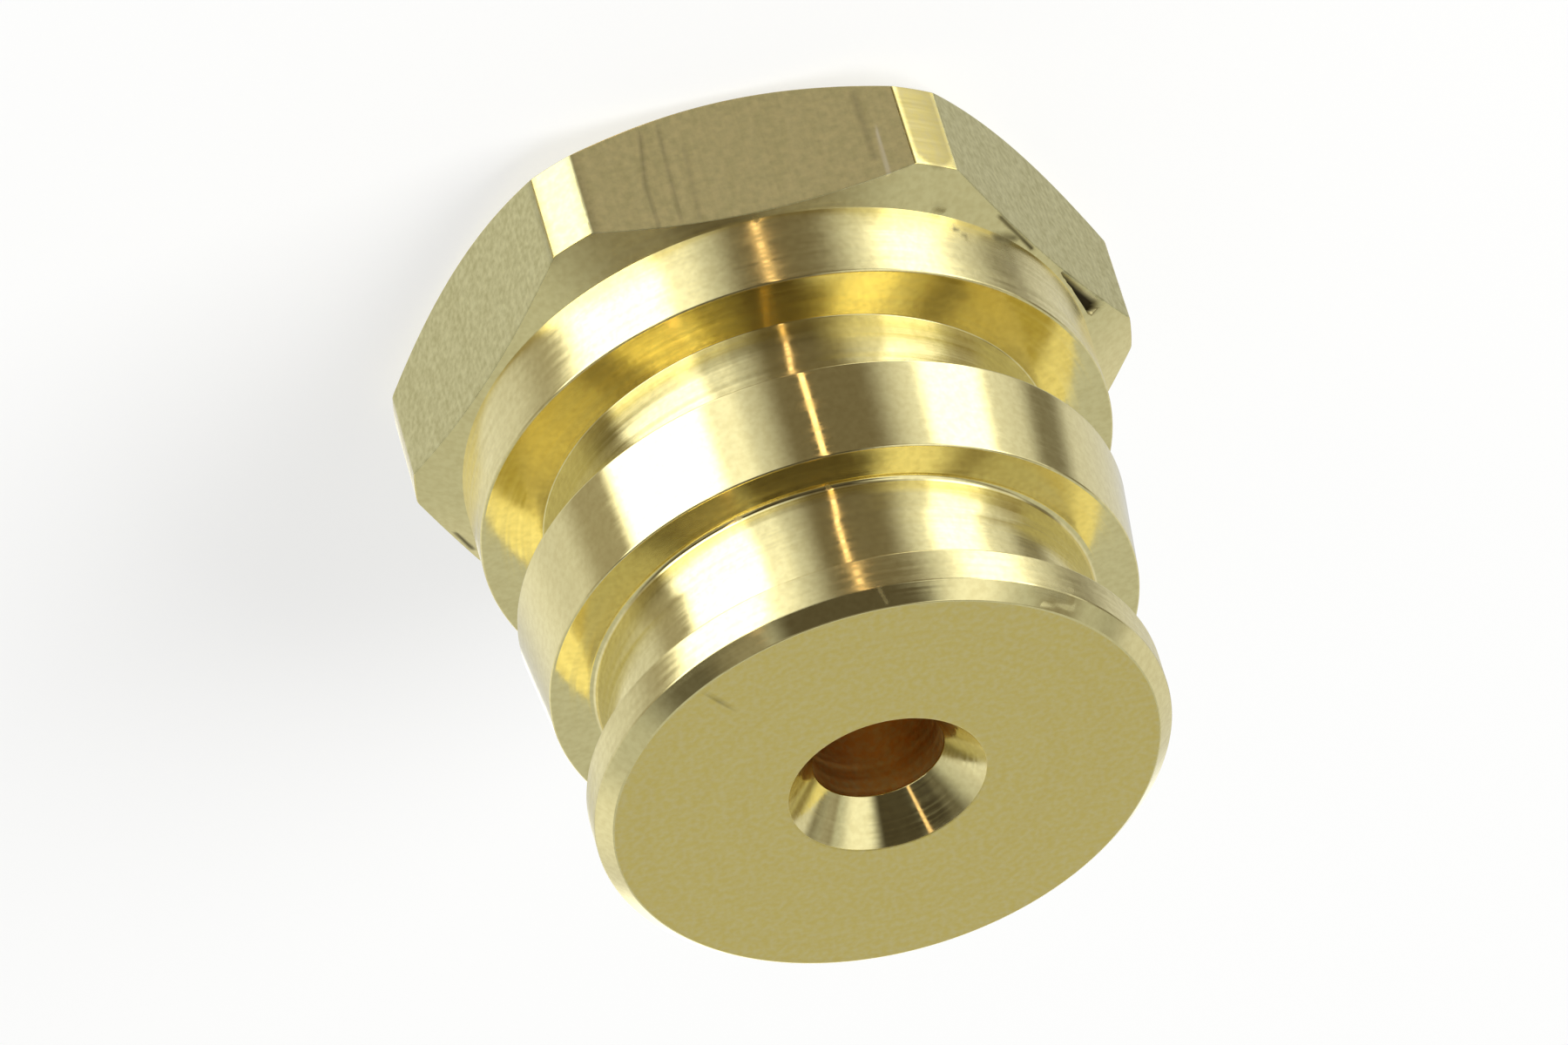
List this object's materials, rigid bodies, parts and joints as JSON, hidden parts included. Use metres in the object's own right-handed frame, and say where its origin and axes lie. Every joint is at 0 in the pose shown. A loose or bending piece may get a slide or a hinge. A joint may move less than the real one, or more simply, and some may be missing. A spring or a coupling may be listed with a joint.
{
  "type": "turned brass plug",
  "caption": "Hexagon-headed turned brass plug with a collar, two grooves round its shank and a countersunk through bore.",
  "frame": {"origin": "centre of the hexagon head's outer face, which it stands on", "axes": "+Z along the bore axis towards the nose, Y across two flats of the hexagon"},
  "size_m": [0.0212, 0.019, 0.0182],
  "materials": {
    "brass": "fine turned, drawn hexagon flats left as the bar came"
  },
  "bodies": {
    "root": {"turned_plug": "brass"}
  },
  "joints": []
}
